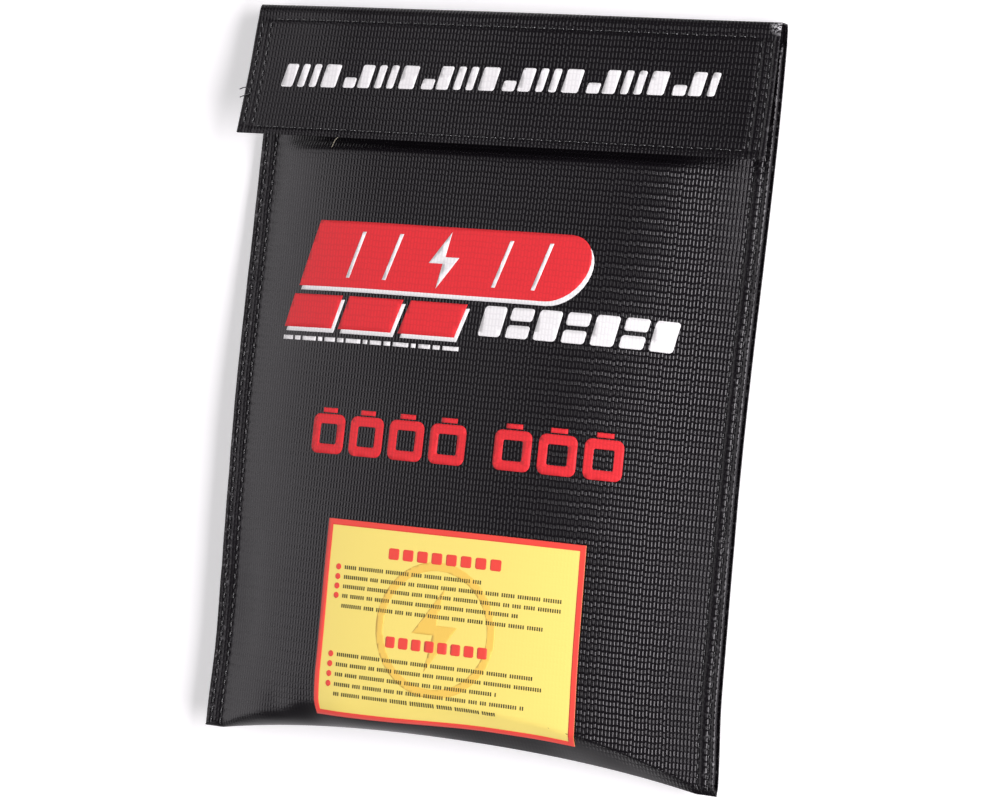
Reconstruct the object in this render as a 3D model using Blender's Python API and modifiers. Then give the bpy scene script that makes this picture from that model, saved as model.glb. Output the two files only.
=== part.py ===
"""Charging pouch for lithium polymer packs: a flat bag of coated glass cloth, sewn up both sides, with a
hook and loop flap that folds over its mouth.

The bag lies on its back. +X is the bag's right, +Y runs from the bottom fold to the top fold, and +Z leaves
the front. Lengths are in metres. The functions measure y from the bottom corners, and the pouch's empty then
puts the origin under the middle of the bag, on the surface that it lies on.

A point of the outer cloth is skin(u, q). u runs from -1 at the left edge to +1 at the right edge. q runs from
-1, at the top of the back, through 0, the bottom fold, to +1, the mouth at the top of the front.
"""

import math

import bmesh
import bpy
from mathutils import Matrix, Vector

# Driving dimensions
WIDTH = 0.230  # across the side seams, laid flat
LENGTH = 0.300  # from the bottom corners to the top fold
FLAP_DEPTH = 0.0545  # from the top fold to the flap's free edge
FLAP_FLARE = 0.002  # how much further the free edge reaches at each side than the fold
CLOTH = 0.0006  # one layer of cloth
GAP = 0.0003  # between pieces that touch
SEAM_BAND = 0.009  # width of the flat band that each side seam makes
CROWN_BELLY = 0.031  # height of the front where the bag is fullest
CROWN_MOUTH = 0.0112  # height of the front at the mouth
BELLY_Y = 0.060
MOUTH_Y = 0.288  # top edge of the front panel

# Shape of the side seams, of the back and of the bottom fold
SEAM_STACK = 2.5 * CLOTH  # half the seam: one panel and half of the turned-in layers
BACK_LIFT = 0.0010  # the top of the back is this far off the surface
BACK_LIFT_FROM_Y = 0.245
SEAM_LOW = 0.0115  # height of the seam's middle over the lower half
SEAM_TOP = SEAM_STACK + BACK_LIFT
SEAM_TOP_Y, SEAM_LOW_Y = 0.285, 0.110
FLAT_SHARE = 0.40  # share of the back's half width that lies flat
CROWN_POWER = 2.6  # how boxy the front is across its lower half
CROWN_POWER_MOUTH = 6.0  # and at the mouth, where the tapes hold it against the flat flap
CROWN_EVEN_Y = 0.150
BACK_POWER = 2.2
FOLD_RETREAT = 0.009  # how far the bottom fold draws in at the middle
FOLD_POWER = 2.2  # how squarely it meets the corners
FOLD_REACH = 0.020  # length of the rounded bottom at the middle
FOLD_REACH_EAR = 0.006  # and at the corners
WAIST = 0.0015  # how much a full bag draws each side in
EAR_LENGTH = 0.040  # the corners keep their full width over this length
FOLD_SHARE = 0.12  # share of q, each side of 0, that is the rounded bottom

# Top fold and flap
FOLD_RADIUS = 0.0076
FLAP_TILT = math.radians(8)  # the closed flap rises this much towards its free edge
HINGE_REACH = math.pi / 2  # the hinge line is this many fold radii past the fold's centre

# Hook and loop tapes, the label and the thread
TAPE = 0.0012
TAPE_HALF_LENGTH = 0.098
LOOP_Y = (0.251, 0.276)
HOOK_REACH = (0.018, 0.043)  # along the flap, from where its flat part starts
HEM_DEPTH = 0.012
LABEL_FILM = 0.0003
LABEL_X = (-0.057, 0.0605)
LABEL_Y = (0.0125, 0.0945)
THREAD = 0.0003  # radius
STITCH_GAP = 0.0001  # between the hook tape and its stitches, which the loop tape lies close under
ROW_OUTER, ROW_INNER = 0.0028, 0.0072  # of the two rows of stitches, from the edge
FLAP_ROW_TOP, FLAP_ROW_BOTTOM = 0.0015, 0.003
ROW_MARGIN = 0.0022  # of a tape's stitches, from the tape's edge
ROW_CLEAR = 0.001  # between two rows of the flap that would meet
ALLOWANCE_INSET = 0.0009  # of the turned-in edges, from the seam band's own edges
ALLOWANCE_SHORT = 0.001  # and from the band's two ends
FACING_INSET = 0.0006  # of the flap's facing, from the flap's edges

STEP = 0.001  # over which a surface's normal is read, also as a share of u and q
CLEAR = 2 * STEP  # how far from an edge or a crease it is read

HALF = WIDTH / 2
BAND_START = 1 - SEAM_BAND / HALF  # u at which the seam band starts
BACK_TOP_Y = LENGTH - FOLD_RADIUS
FOLD_CENTRE_Z = BACK_LIFT + FOLD_RADIUS
FOLD_END = math.pi / 2 - FLAP_TILT  # angle round the fold where the flap's flat part starts
LEAF_START_Y = BACK_TOP_Y + FOLD_RADIUS * math.cos(FOLD_END)
LEAF_START_Z = FOLD_CENTRE_Z + FOLD_RADIUS * math.sin(FOLD_END)
LEAF_LENGTH = (LEAF_START_Y - (LENGTH - FLAP_DEPTH)) / math.cos(FLAP_TILT)

# Where the two empties are, with y from the bottom corners
PLACES = {
    "pouch": Vector((0, 0, 0)),
    "flap_hinge": Vector((0, BACK_TOP_Y + HINGE_REACH * FOLD_RADIUS, FOLD_CENTRE_Z)),
}

COLOURS = {
    "shell_cloth": ((0.022, 0.022, 0.025, 1), 0.42),
    "lining_cloth": ((0.55, 0.54, 0.50, 1), 0.85),
    "loop_tape": ((0.012, 0.012, 0.013, 1), 0.95),
    "hook_tape": ((0.018, 0.018, 0.02, 1), 0.6),
    "thread": ((0.02, 0.02, 0.02, 1), 0.55),
    "label_film": ((0.93, 0.78, 0.20, 1), 0.45),
}


def smooth(t):
    t = max(0.0, min(1.0, t))
    return t * t * (3 - 2 * t)


def between(a, b, t):
    return a + (b - a) * t


# ---------------------------------------------------------------- the bag's form


def crown(y):
    """Height of the front along the middle of the bag."""
    t = max(0.0, min(1.0, (MOUTH_Y - y) / (MOUTH_Y - BELLY_Y)))
    return between(CROWN_MOUTH, CROWN_BELLY, math.sin(t * math.pi / 2))


def seam_height(y):
    return between(SEAM_TOP, SEAM_LOW, smooth((SEAM_TOP_Y - y) / (SEAM_TOP_Y - SEAM_LOW_Y)))


def back_lift(y):
    return BACK_LIFT * smooth((y - BACK_LIFT_FROM_Y) / (BACK_TOP_Y - BACK_LIFT_FROM_Y))


def front_height(w, y):
    """Height of the outer face of the front. w is 0 in the middle and 1 from the seam band outwards."""
    edge = seam_height(y) + SEAM_STACK
    power = between(CROWN_POWER_MOUTH, CROWN_POWER, smooth((MOUTH_Y - y) / (MOUTH_Y - CROWN_EVEN_Y)))
    return edge + (crown(y) - edge) * (1 - w**power)


def back_height(w, y):
    edge = seam_height(y) - SEAM_STACK
    rise = max(0.0, (w - FLAT_SHARE) / (1 - FLAT_SHARE)) ** BACK_POWER
    return between(back_lift(y), edge, rise)


def half_width(y):
    return HALF - WAIST * (crown(y) / CROWN_BELLY) ** 2 * smooth(y / EAR_LENGTH)


def skin(u, q):
    """A point of the outer face of the cloth."""
    w = min(1.0, abs(u) / BAND_START)
    fold_y = FOLD_RETREAT * (1 - w**FOLD_POWER)
    reach = between(FOLD_REACH, FOLD_REACH_EAR, w * w)
    wall_y = fold_y + reach
    end_y = MOUTH_Y if q > 0 else BACK_TOP_Y
    if abs(q) < FOLD_SHARE:
        angle = abs(q) / FOLD_SHARE * math.pi / 2
        y, swell = fold_y + reach * (1 - math.cos(angle)), math.sin(angle)
    else:
        y, swell = between(wall_y, end_y, (abs(q) - FOLD_SHARE) / (1 - FOLD_SHARE)), 1.0
    front, back = front_height(w, max(y, wall_y)), back_height(w, max(y, wall_y))
    middle = (front + back) / 2
    z = between(middle, front if q > 0 else back, swell)
    return Vector((u * half_width(y), y, z))


def q_of(u, y, side):
    """The q at which the front (side 1) or the back (side -1) passes y, above the rounded bottom."""
    w = min(1.0, abs(u) / BAND_START)
    wall_y = FOLD_RETREAT * (1 - w**FOLD_POWER) + between(FOLD_REACH, FOLD_REACH_EAR, w * w)
    end_y = MOUTH_Y if side > 0 else BACK_TOP_Y
    return side * between(FOLD_SHARE, 1.0, (y - wall_y) / (end_y - wall_y))


def flap(u, reach):
    """A point of the outer face of the flap. reach is 0 where the flat part starts and LEAF_LENGTH at its free
    edge; below 0 it runs back round the top fold, as an arc's length."""
    if reach >= 0:
        y = LEAF_START_Y - reach * math.cos(FLAP_TILT)
        z = LEAF_START_Z + reach * math.sin(FLAP_TILT)
    else:
        angle = FOLD_END + reach / FOLD_RADIUS
        y = BACK_TOP_Y + FOLD_RADIUS * math.cos(angle)
        z = FOLD_CENTRE_Z + FOLD_RADIUS * math.sin(angle)
    flare = FLAP_FLARE * max(0.0, reach) / LEAF_LENGTH
    return Vector((u * (HALF + flare), y, z))


def inset(surface, a, b, depth):
    """The point of a surface, moved inwards by depth along its normal."""
    across = surface(a + STEP, b) - surface(a - STEP, b)
    along = surface(a, b + STEP) - surface(a, b - STEP)
    return surface(a, b) - across.cross(along).normalized() * depth


def skin_inset(u, q, depth):
    """skin moved inwards. Its normal is read clear of the seam's crease, of both edges and of the fold's end."""
    inner = BAND_START - CLEAR
    beside = max(-inner, min(inner, u)) if abs(u) < BAND_START else math.copysign(1 - CLEAR, u)
    clear_q = max(CLEAR - 1, min(1 - CLEAR, q))
    moved = inset(skin, beside, clear_q, depth) - skin(beside, clear_q)
    return skin(u, q) + moved


def flap_inset(u, reach, depth):
    def turned(a, b):
        return flap(a, -b)

    return inset(turned, u, -reach, depth)


# ---------------------------------------------------------------- Blender objects


def clear_scene():
    for obj in list(bpy.data.objects):
        bpy.data.objects.remove(obj)


def make_material(name):
    colour, roughness = COLOURS[name]
    material = bpy.data.materials.new(name)
    material.use_nodes = True
    shader = material.node_tree.nodes["Principled BSDF"]
    shader.inputs["Base Color"].default_value = colour
    shader.inputs["Roughness"].default_value = roughness
    shader.inputs["Metallic"].default_value = 0.0
    material.diffuse_color = colour
    return material


def add_object(name, data, material, parent):
    obj = bpy.data.objects.new(name, data)
    COLLECTION.objects.link(obj)
    obj.parent = parent
    obj.matrix_parent_inverse = Matrix.Translation(-PLACES[parent.name])
    data.materials.append(MATERIALS[material])
    return obj


def stations(start, end, count):
    return [between(start, end, i / count) for i in range(count + 1)]


def add_sheet(name, place, columns, rows, thickness, material, parent):
    """A sheet of cloth: a grid bent so that place(column, row) is its outer face, and thickened inwards."""
    mesh = bpy.data.meshes.new(name)
    grid = bmesh.new()
    across, along = len(columns) - 1, len(rows) - 1
    bmesh.ops.create_grid(grid, x_segments=across, y_segments=along, size=1)
    for vertex in grid.verts:
        i = round((vertex.co.x + 1) / 2 * across)
        j = round((vertex.co.y + 1) / 2 * along)
        vertex.co = place(columns[i], rows[j])
    grid.to_mesh(mesh)
    grid.free()
    mesh.shade_smooth()
    obj = add_object(name, mesh, material, parent)
    cloth = obj.modifiers.new("Thickness", "SOLIDIFY")
    cloth.thickness = thickness
    cloth.offset = -1
    cloth.use_even_offset = True
    return obj


def add_thread(name, points, closed, parent):
    """A row of stitches as one plain length of thread."""
    curve = bpy.data.curves.new(name, "CURVE")
    curve.dimensions = "3D"
    spline = curve.splines.new("POLY")
    spline.points.add(len(points) - 1)
    for target, point in zip(spline.points, points):
        target.co = (*point, 1)
    spline.use_cyclic_u = closed
    curve.bevel_depth = THREAD
    curve.bevel_resolution = 0
    curve.use_fill_caps = not closed
    return add_object(name, curve, "thread", parent)


# ---------------------------------------------------------------- the pouch's pieces

SIDE_SHARES = (0.22, 0.42, 0.60, 0.76, 0.88, 0.965, 1.0)  # closer together beside the seam, where cloth bends
INNER_COLUMNS = [BAND_START * w for w in (*(-w for w in reversed(SIDE_SHARES)), 0.0, *SIDE_SHARES)]
PANEL_COLUMNS = [-1.0, *INNER_COLUMNS, 1.0]
LINING_COLUMNS = INNER_COLUMNS[1:-1]
WALL_ROWS = stations(FOLD_SHARE, 1.0, 15)
LINING_DEPTH = CLOTH + GAP
HEM_INSET = 2 * LINING_DEPTH
FOLD_CUT = 0.75 * FOLD_SHARE  # q where the bottom fold's own piece ends
CUT_GAP = 0.003  # half the gap there, as a share of q
LINING_ROWS = (0.6 * FOLD_SHARE, 0.8 * FOLD_SHARE)  # of the lining, on the rounded bottom
THREAD_ENDS = (0.6 * FOLD_SHARE, 0.985)  # q where the rows up the sides start and stop


def build_panels(pouch):
    def outer(u, q):
        return skin_inset(u, q, 0)

    front_rows = [FOLD_CUT + CUT_GAP, *WALL_ROWS]
    back_rows = [-q for q in reversed(front_rows)]
    add_sheet("front_panel", outer, PANEL_COLUMNS, front_rows, CLOTH, "shell_cloth", pouch)
    add_sheet("back_panel", outer, PANEL_COLUMNS, back_rows, CLOTH, "shell_cloth", pouch)
    fold_rows = stations(-FOLD_CUT + CUT_GAP, FOLD_CUT - CUT_GAP, 8)
    add_sheet("bottom_fold", outer, PANEL_COLUMNS, fold_rows, CLOTH, "shell_cloth", pouch)


def build_lining(pouch):
    def inner(u, q):
        return skin_inset(u, q, LINING_DEPTH)

    front_rows = [*LINING_ROWS, *WALL_ROWS]
    back_rows = [-q for q in reversed(front_rows)]
    add_sheet("front_lining", inner, LINING_COLUMNS, front_rows, CLOTH, "lining_cloth", pouch)
    add_sheet("back_lining", inner, LINING_COLUMNS, back_rows, CLOTH, "lining_cloth", pouch)


def build_seam_allowances(pouch):
    """The turned-in edges of both panels, caught between them along each side."""
    for name, side in (("left_seam_allowance", -1), ("right_seam_allowance", 1)):
        inset_share = ALLOWANCE_INSET / HALF
        edges = sorted((side * (1 - inset_share), side * (BAND_START + inset_share)))

        def turned_in(u, y):
            x = u * half_width(y)
            return Vector((x, y, seam_height(y) + CLOTH))

        rows = stations(FOLD_REACH_EAR + ALLOWANCE_SHORT, MOUTH_Y - ALLOWANCE_SHORT, 16)
        add_sheet(name, turned_in, edges, rows, 2 * CLOTH, "shell_cloth", pouch)


def build_mouth(pouch):
    """The front's turned-in top edge, and the row of stitches that holds it."""

    def turned_in(u, q):
        return skin_inset(u, q, HEM_INSET)

    rows = [q_of(0, MOUTH_Y - HEM_DEPTH, 1), q_of(0, MOUTH_Y - HEM_DEPTH / 2, 1), 1.0]
    add_sheet("mouth_hem", turned_in, LINING_COLUMNS[1:-1], rows, CLOTH, "shell_cloth", pouch)
    row = q_of(0, MOUTH_Y - HEM_DEPTH + ROW_MARGIN, 1)
    points = [skin_inset(u, row, -GAP - THREAD) for u in INNER_COLUMNS]
    add_thread("mouth_hem_thread", points, False, pouch)


def tape_loop(place, ends, sides, count):
    """Points round a tape's rectangle of stitches."""
    (left, right), (low, high) = ends, sides
    there = [place(u, low) for u in stations(left, right, count)]
    back = [place(u, high) for u in stations(right, left, count)]
    return there + back


def build_loop_tape(pouch):
    edge = TAPE_HALF_LENGTH / HALF
    columns = [-edge, *(u for u in INNER_COLUMNS if abs(u) < edge), edge]
    rows = [q_of(0, LOOP_Y[0], 1), q_of(0, sum(LOOP_Y) / 2, 1), q_of(0, LOOP_Y[1], 1)]

    def on_front(u, q):
        return skin_inset(u, q, -GAP - TAPE)

    def stitch(u, y):
        return skin_inset(u, q_of(0, y, 1), -GAP - TAPE - GAP - THREAD)

    add_sheet("loop_tape", on_front, columns, rows, TAPE, "loop_tape", pouch)
    inner = edge - ROW_MARGIN / HALF
    sides = (LOOP_Y[0] + ROW_MARGIN, LOOP_Y[1] - ROW_MARGIN)
    add_thread("loop_tape_thread", tape_loop(stitch, (-inner, inner), sides, 12), True, pouch)


def build_label(pouch):
    """The printed transfer film low on the front."""
    columns = [x / HALF for x in stations(*LABEL_X, 8)]

    def label_q(y):
        """q of the front's middle at y, also on the rounded bottom."""
        beyond = y - FOLD_RETREAT
        if beyond >= FOLD_REACH:
            return q_of(0, y, 1)
        return FOLD_SHARE * math.acos(1 - max(beyond, 0) / FOLD_REACH) / (math.pi / 2)

    def on_front(u, q):
        return skin_inset(u, q, -GAP - LABEL_FILM)

    rows = stations(label_q(LABEL_Y[0]), FOLD_SHARE, 3)[:-1] + stations(FOLD_SHARE, label_q(LABEL_Y[1]), 6)
    add_sheet("label_film", on_front, columns, rows, LABEL_FILM, "label_film", pouch)


def build_seam_threads(pouch):
    """Two rows up each side. The needle thread shows on the front and the bobbin thread on the back."""
    for side_name, side in (("left", -1), ("right", 1)):
        for row_name, from_edge in (("outer", ROW_OUTER), ("inner", ROW_INNER)):
            u = side * (1 - from_edge / HALF)
            for face_name, face in (("needle", 1), ("bobbin", -1)):
                rows = [face * q for q in stations(*THREAD_ENDS, 18)]
                points = [skin_inset(u, q, -GAP - THREAD) for q in rows]
                add_thread(f"{side_name}_{row_name}_{face_name}_thread", points, False, pouch)


# ---------------------------------------------------------------- the flap's pieces


def build_flap(hinge):
    fold_start = -FOLD_RADIUS * (FOLD_END + math.pi / 2)
    columns = stations(-1, 1, 8)

    def outer(u, reach):
        return flap_inset(u, reach, 0)

    def facing(u, reach):
        return flap_inset(u, reach, LINING_DEPTH)

    add_sheet("top_fold", outer, columns, stations(-GAP, fold_start + GAP, 10), CLOTH, "shell_cloth", hinge)
    leaf_rows = stations(LEAF_LENGTH, 0, 3)
    add_sheet("flap_shell", outer, columns, leaf_rows, CLOTH, "shell_cloth", hinge)
    facing_edge = 1 - FACING_INSET / HALF
    facing_rows = stations(LEAF_LENGTH - FACING_INSET, 0, 3)
    facing_columns = stations(-facing_edge, facing_edge, 8)
    add_sheet("flap_facing", facing, facing_columns, facing_rows, CLOTH, "shell_cloth", hinge)


def build_hook_tape(hinge):
    edge = TAPE_HALF_LENGTH / HALF
    depth = 2 * LINING_DEPTH

    def under_facing(u, reach):
        return flap_inset(u, reach, depth)

    def stitch(u, reach):
        return flap_inset(u, reach, depth + TAPE + STITCH_GAP + THREAD)

    columns, rows = stations(-edge, edge, 6), list(reversed(HOOK_REACH))
    add_sheet("hook_tape", under_facing, columns, rows, TAPE, "hook_tape", hinge)
    inner = edge - ROW_MARGIN / HALF
    sides = (HOOK_REACH[0] + ROW_MARGIN, HOOK_REACH[1] - ROW_MARGIN)
    add_thread("hook_tape_thread", tape_loop(stitch, (-inner, inner), sides, 6), True, hinge)


def build_flap_threads(hinge):
    """The rows that join the flap's two layers: along the fold, along the free edge, and two up each side."""
    proud = -GAP - THREAD
    low, high = FLAP_ROW_TOP, LEAF_LENGTH - FLAP_ROW_BOTTOM
    inner_u = 1 - (ROW_INNER + 2 * ROW_CLEAR) / HALF
    for name, reach in (("flap_top_thread", low), ("flap_bottom_thread", high)):
        points = [flap_inset(u, reach, proud) for u in stations(-inner_u, inner_u, 6)]
        add_thread(name, points, False, hinge)
    for side_name, side in (("left", -1), ("right", 1)):
        for row_name, from_edge in (("outer", ROW_OUTER), ("inner", ROW_INNER)):
            u = side * (1 - from_edge / HALF)
            points = [flap_inset(u, reach, proud) for reach in stations(low + ROW_CLEAR, high, 6)]
            add_thread(f"flap_{side_name}_{row_name}_thread", points, False, hinge)
    beneath = 2 * LINING_DEPTH + THREAD
    bobbin_u = 1 - ROW_OUTER / HALF

    def under_facing(u, reach):
        return flap_inset(u, reach, beneath)

    points = tape_loop(under_facing, (-bobbin_u, bobbin_u), (low + ROW_CLEAR, high), 6)
    add_thread("flap_bobbin_thread", points, True, hinge)


def build():
    pouch = bpy.data.objects.new("pouch", None)
    hinge = bpy.data.objects.new("flap_hinge", None)
    COLLECTION.objects.link(pouch)
    COLLECTION.objects.link(hinge)
    pouch.location = (0, -LENGTH / 2, 0)
    hinge.parent = pouch
    hinge.location = PLACES["flap_hinge"]
    build_panels(pouch)
    build_lining(pouch)
    build_seam_allowances(pouch)
    build_mouth(pouch)
    build_loop_tape(pouch)
    build_label(pouch)
    build_seam_threads(pouch)
    build_flap(hinge)
    build_hook_tape(hinge)
    build_flap_threads(hinge)


clear_scene()
COLLECTION = bpy.data.collections.new("charging_pouch")
bpy.context.scene.collection.children.link(COLLECTION)
MATERIALS = {name: make_material(name) for name in COLOURS}
build()
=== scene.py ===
"""A flat charging pouch for lithium polymer packs, sewn from black coated glass cloth, lying on its back.

The bag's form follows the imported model. Functions measure y from the bottom corners and heights from the
surface that the bag lies on; to_frame() moves a point from there into the frame. All lengths are in metres.
"""

import math
import random

import bmesh
import bpy
import numpy as np
from mathutils import Euler, Matrix, Vector, noise


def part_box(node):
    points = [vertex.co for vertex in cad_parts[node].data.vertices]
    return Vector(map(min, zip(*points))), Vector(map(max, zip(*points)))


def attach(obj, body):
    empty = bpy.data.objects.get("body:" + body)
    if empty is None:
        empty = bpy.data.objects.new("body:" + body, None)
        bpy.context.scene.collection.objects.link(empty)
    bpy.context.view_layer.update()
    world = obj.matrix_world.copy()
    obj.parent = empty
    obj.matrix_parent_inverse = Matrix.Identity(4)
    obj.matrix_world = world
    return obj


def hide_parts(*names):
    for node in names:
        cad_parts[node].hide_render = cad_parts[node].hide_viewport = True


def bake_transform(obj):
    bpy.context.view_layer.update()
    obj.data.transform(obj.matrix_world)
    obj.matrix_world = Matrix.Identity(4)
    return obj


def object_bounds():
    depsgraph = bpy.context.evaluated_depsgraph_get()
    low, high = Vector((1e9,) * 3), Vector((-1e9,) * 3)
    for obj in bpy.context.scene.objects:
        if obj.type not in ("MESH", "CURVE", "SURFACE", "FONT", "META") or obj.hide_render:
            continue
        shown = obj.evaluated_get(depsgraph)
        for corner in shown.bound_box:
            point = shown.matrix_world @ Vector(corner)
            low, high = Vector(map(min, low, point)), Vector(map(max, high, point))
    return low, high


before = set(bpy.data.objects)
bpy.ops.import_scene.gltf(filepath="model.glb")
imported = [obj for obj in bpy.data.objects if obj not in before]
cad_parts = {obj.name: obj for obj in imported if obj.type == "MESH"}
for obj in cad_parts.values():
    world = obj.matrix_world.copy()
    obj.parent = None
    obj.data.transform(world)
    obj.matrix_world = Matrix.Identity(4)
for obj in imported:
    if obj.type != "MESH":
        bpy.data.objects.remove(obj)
CAD_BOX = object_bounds()

# ---------------------------------------------------------------- sizes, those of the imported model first

MM = 0.001
BACK_LOW, BACK_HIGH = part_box("back_panel")
WIDTH = BACK_HIGH.x - BACK_LOW.x
HALF = WIDTH / 2
LENGTH = CAD_BOX[1].y - CAD_BOX[0].y
FLAP_LOW, FLAP_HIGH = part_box("flap_shell")
MOUTH_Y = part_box("front_panel")[1].y + LENGTH / 2
BACK_TOP_Y = BACK_HIGH.y + LENGTH / 2
FOLD_RADIUS = LENGTH - BACK_TOP_Y
FLAP_FREE_Y = FLAP_LOW.y + LENGTH / 2
FLAP_FREE_Z = FLAP_HIGH.z
FLAP_FLARE = FLAP_HIGH.x - HALF

# The bag's form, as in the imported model
CROWN_BELLY, CROWN_MOUTH, BELLY_Y = 31 * MM, 11.2 * MM, 60 * MM
CROWN_POWER, CROWN_POWER_MOUTH, CROWN_EVEN_Y = 2.6, 6.0, 150 * MM
BACK_LIFT, BACK_LIFT_FROM_Y = 1 * MM, 245 * MM
SEAM_STACK = 1.5 * MM
SEAM_LOW, SEAM_TOP = 11.5 * MM, SEAM_STACK + BACK_LIFT
SEAM_TOP_Y, SEAM_LOW_Y = 285 * MM, 110 * MM
FLAT_SHARE, BACK_POWER = 0.40, 2.2
# How far the bottom fold sinks in at its middle, and how far it reaches along the bag there and at its ends
FOLD_RETREAT, FOLD_REACH, FOLD_REACH_EAR = 9 * MM, 15 * MM, 3.5 * MM
FOLD_BOW = 2.2  # the power at which the bottom fold's retreat dies away towards its ends
# 1 is a round bottom, and more makes it two facets that meet in a crease
FOLD_FACET_LEFT, FOLD_FACET = 1.1, 1.85
FOLD_LIFT = 0.1  # of the bottom's thickness, by which that crease lies above the middle
CREASE_T = 23 * MM  # where the front's own crease crosses the middle, in cloth lengths
WAIST, EAR_LENGTH = 1.5 * MM, 40 * MM
FOLD_SHARE = 0.12  # of the body's q, on each side of the bottom fold
FLAP_TILT = math.radians(8)
FOLD_END = math.pi / 2 - FLAP_TILT

# Cloth, seams and stitches
CLOTH = 0.55 * MM
LAYER = CLOTH + 0.08 * MM
SEAM_BAND = 8.6 * MM
ROW_WIDTH = 0.8 * MM  # of the channel that a row of stitches pulls into the cloth
ROW_DEPTH, ROW_DEPTH_RIGHT = 0.14 * MM, 0.6 * MM  # the right seam is sewn tighter
EDGE_ROUND = 0.7 * MM
FRONT_EDGE_INSET = 0.9 * MM  # the front's edge stops this far inside the back's
ROW_OUTER, ROW_INNER = 2.8 * MM, 7.2 * MM
STITCH_PITCH, STITCH_LENGTH = 4 * MM, 3.1 * MM
THREAD = 0.33 * MM
RIB_PITCH, FLOAT_PITCH = 1.5 * MM, 4.7 * MM  # of the weave: across, and along
WEAVE_DEPTH = 0.22 * MM
CLEAR_OF_SIDES, CLEAR_OF_ENDS = 0.985, 0.99  # largest u and q at which a normal is read


def smooth(t):
    t = max(0.0, min(1.0, t))
    return t * t * (3 - 2 * t)


def between(a, b, t):
    return a + (b - a) * t


def stations(start, end, count):
    return [between(start, end, i / count) for i in range(count + 1)]


def to_frame(point):
    return Vector((point[0], point[1] - LENGTH / 2, point[2]))


# ---------------------------------------------------------------- the bag's form


def crown(y):
    t = max(0.0, min(1.0, (MOUTH_Y - y) / (MOUTH_Y - BELLY_Y)))
    return between(CROWN_MOUTH, CROWN_BELLY, math.sin(t * math.pi / 2))


def seam_height(y):
    return between(SEAM_TOP, SEAM_LOW, smooth((SEAM_TOP_Y - y) / (SEAM_TOP_Y - SEAM_LOW_Y)))


def back_lift(y):
    return BACK_LIFT * smooth((y - BACK_LIFT_FROM_Y) / (BACK_TOP_Y - BACK_LIFT_FROM_Y))


def half_width(y):
    return HALF - WAIST * (crown(y) / CROWN_BELLY) ** 2 * smooth(y / EAR_LENGTH)


def channel(place, rows, depth=ROW_DEPTH):
    """How deep the cloth is pulled in at place by rows of stitches."""
    return sum(depth * math.exp(-(((place - row) / ROW_WIDTH) ** 2)) for row in rows)


def side_channel(u):
    """How deep the two rows along each side pull the cloth in."""
    depth = ROW_DEPTH_RIGHT if u > 0 else ROW_DEPTH
    return channel((1 - abs(u)) * HALF, (ROW_OUTER, ROW_INNER), depth)


def edge_drop(from_edge):
    """How far the outer face drops at a rounded edge."""
    inside = max(0.0, EDGE_ROUND - from_edge)
    return EDGE_ROUND - math.sqrt(EDGE_ROUND**2 - min(inside, EDGE_ROUND) ** 2)


def seam_section(u):
    """Height of a panel's outer face over the seam's middle: rounded at the edge, drawn in at both rows."""
    return SEAM_STACK + 0.2 * MM - edge_drop((1 - abs(u)) * HALF) - side_channel(u)


# Dents along the bottom and up the left side: x, y, radius and depth in mm
DENTS = (
    (-76, 9, 7, 1.1), (-59, 5, 11, 2.6), (-30, 10, 10, 0.5), (42, 8, 9, 0.7), (58, 5, 6, -0.6),
    (75, 7, 7, 0.6), (-97, 32, 7, 0.8), (-97, 45, 7, 1.3), (-98, 58, 7, 1.2), (-98, 71, 7, 0.7),
    (-60, 130, 24, 0.5),
)


def dent(x, y):
    depth = 0.0
    for dent_x, dent_y, radius, deep in DENTS:
        away = math.hypot(x / MM - dent_x, y / MM - dent_y - FOLD_RETREAT / MM * 0.5)
        depth += deep * MM * math.exp(-((away / radius) ** 2))
    return depth


# Height, length across and along, and how far from the edge they die away (puckers) or start (waves)
PUCKER, PUCKER_ACROSS, PUCKER_ALONG, PUCKER_END = 0.55 * MM, 26 * MM, 11 * MM, 16 * MM
WAVE, WAVE_ACROSS, WAVE_ALONG, WAVE_START = 0.5 * MM, 55 * MM, 75 * MM, 25 * MM


def wrinkle(x, y, side):
    """Small unevenness of hand-filled, sewn cloth: puckers by the seams, and slow waves elsewhere."""
    from_edge = HALF - abs(x)
    by_seam = math.exp(-from_edge / PUCKER_END) * smooth(from_edge / (4 * MM))
    pucker = PUCKER * by_seam * noise.noise(Vector((x / PUCKER_ACROSS, y / PUCKER_ALONG, 7.0 * side)))
    slow = WAVE * noise.noise(Vector((x / WAVE_ACROSS, y / WAVE_ALONG, 3.0 * side + 20)))
    return pucker + slow * smooth(from_edge / WAVE_START)


TUCK, TUCK_LENGTH = 2.2 * MM, 4.5 * MM
TUCK_SHIFT, TUCK_HALF = 0.08, 0.88  # its middle is left of the bag's, and its half width, in u


def tuck(u, y):
    """How far the front drops where it passes under the flap's free edge."""
    across = smooth((TUCK_HALF - abs(u + TUCK_SHIFT)) * 5)
    return TUCK * smooth((y - FLAP_FREE_Y + TUCK_LENGTH) / TUCK_LENGTH) * across


def from_middle(u):
    """0 in the bag's middle, and 1 from the seams outwards."""
    return min(1.0, abs(u) / (1 - SEAM_BAND / HALF))


def bottom(w):
    """y of the bottom fold, and how far from there the panels start."""
    return FOLD_RETREAT * (1 - w**FOLD_BOW), between(FOLD_REACH, FOLD_REACH_EAR, w * w)


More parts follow.
